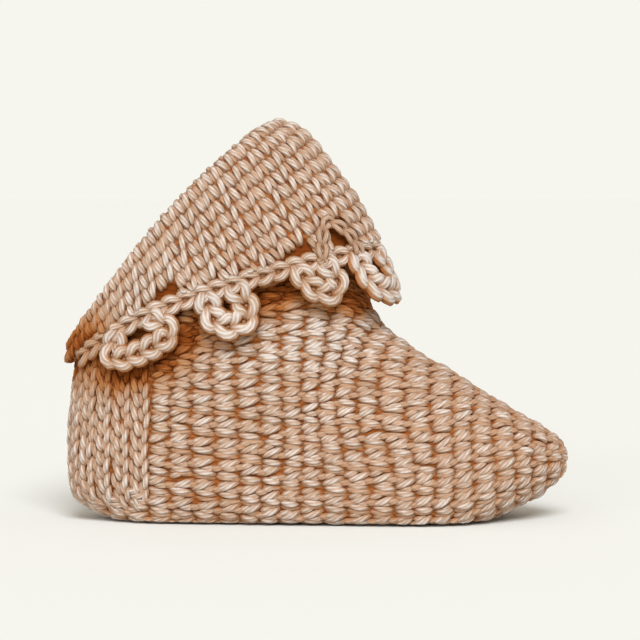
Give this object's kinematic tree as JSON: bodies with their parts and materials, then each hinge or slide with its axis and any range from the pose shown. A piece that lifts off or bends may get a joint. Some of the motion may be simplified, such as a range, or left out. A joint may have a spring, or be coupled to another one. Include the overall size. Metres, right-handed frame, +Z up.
{
  "type": "pixie slipper",
  "caption": "Pointed-toe bootie slipper in thick crochet, with a turned-down cuff that is deep in front and slopes to the heel, and a looped chain edging.",
  "frame": {"origin": "on the floor under the sole, at the middle of the slipper's length and width", "axes": "+X towards the toe, +Y across the slipper, +Z up from the floor"},
  "size_m": [0.2304, 0.079, 0.1832],
  "materials": {
    "foot_yarn": "thick twisted yarn in close crochet, matt",
    "cuff_yarn": "the same yarn in close crochet, matt",
    "edging_yarn": "the same yarn in chain stitch, matt"
  },
  "bodies": {
    "root": {"upper_and_sole": "foot_yarn", "cuff": "cuff_yarn", "loop_edging": "edging_yarn"}
  },
  "joints": []
}
